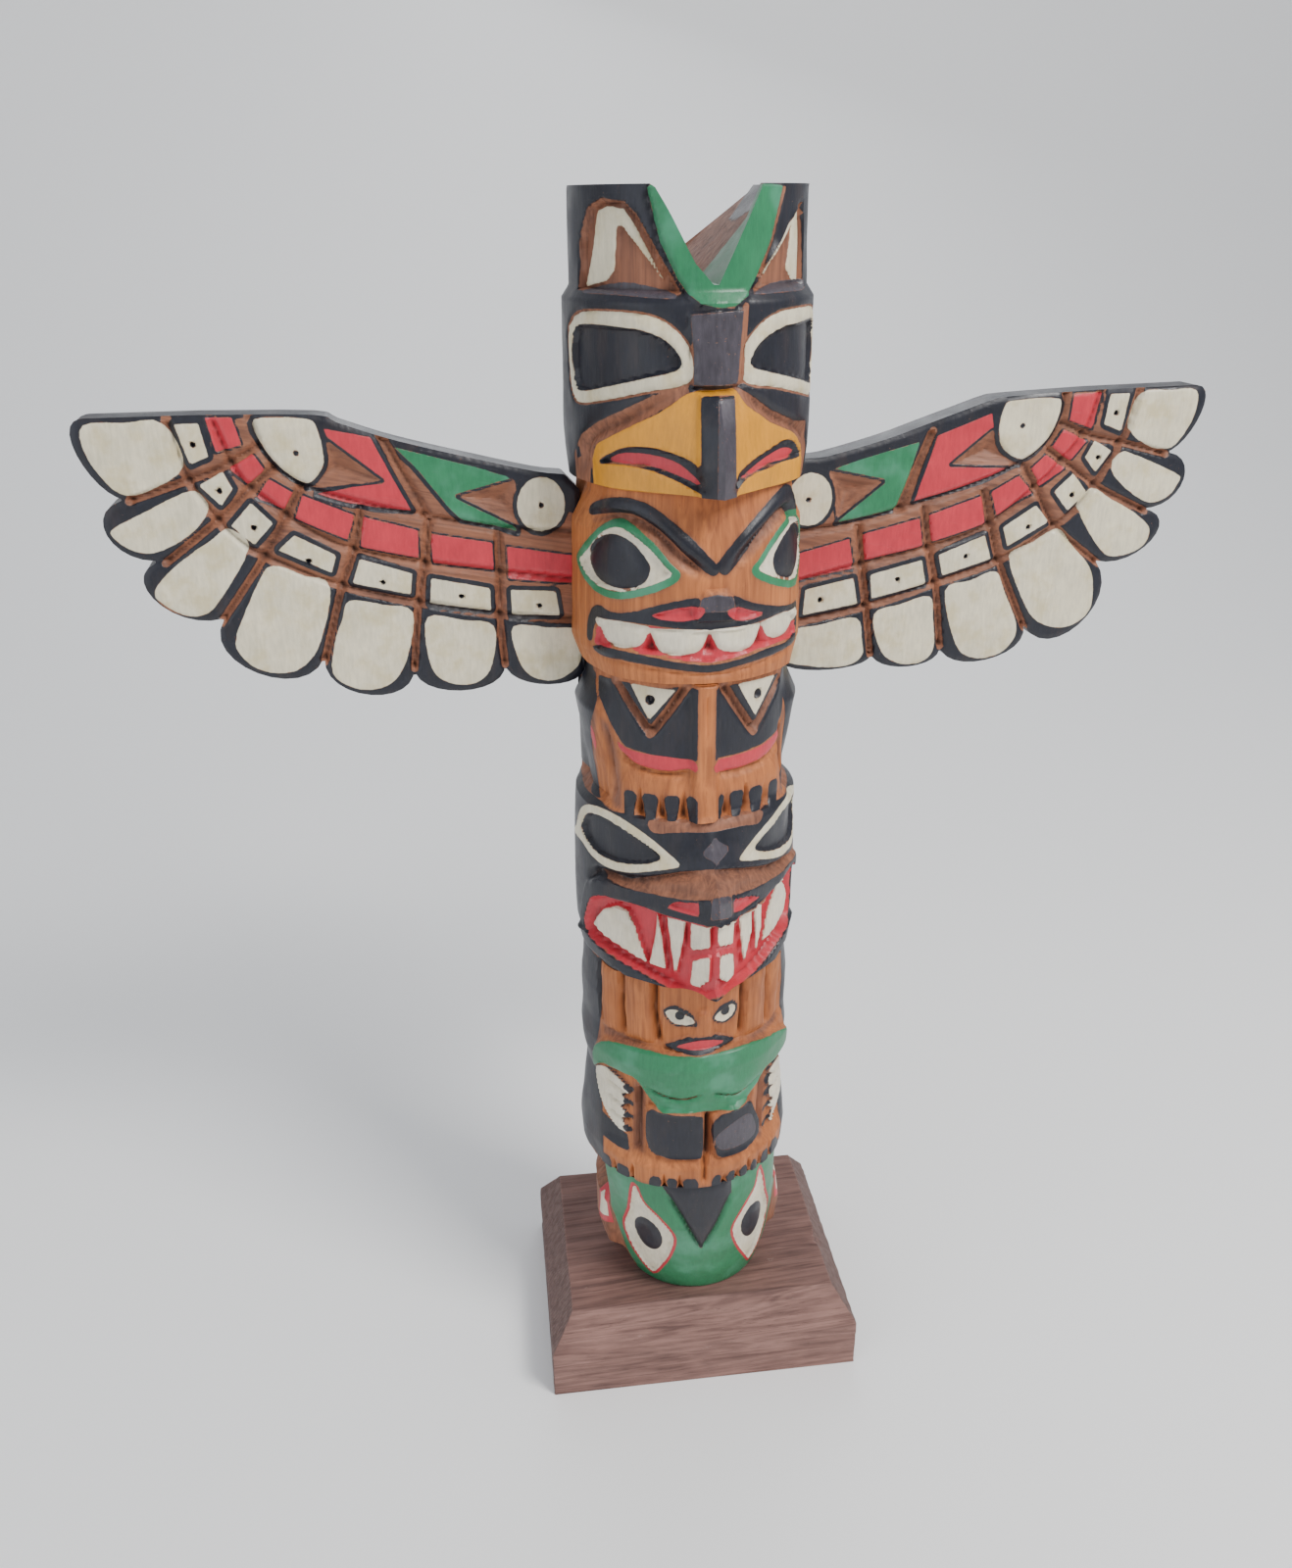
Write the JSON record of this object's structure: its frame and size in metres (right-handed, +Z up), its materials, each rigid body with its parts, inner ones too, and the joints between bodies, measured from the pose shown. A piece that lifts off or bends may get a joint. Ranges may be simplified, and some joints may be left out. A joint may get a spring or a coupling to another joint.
{
  "type": "totem pole",
  "caption": "Carved and painted wooden totem pole on a block base: stacked animal heads and a crouched figure, with two flat feathered wings spread from its upper sides",
  "frame": {"origin": "centre of the bounding box at its bottom, on the underside of the plinth", "axes": "+Z up the pole, -Y out of the carved front, +X toward the wing on the right as one looks at the front"},
  "size_m": [0.3888, 0.1226, 0.47],
  "materials": {
    "painted_cedar": "hand-carved cedar, partly bare, painted satin black, green, red, cream and ochre",
    "bare_wood": "bare, sawn and weathered"
  },
  "bodies": {
    "root": {"plinth": "bare_wood", "pole": "painted_cedar", "wing_left": "painted_cedar", "wing_right": "painted_cedar"}
  },
  "joints": []
}
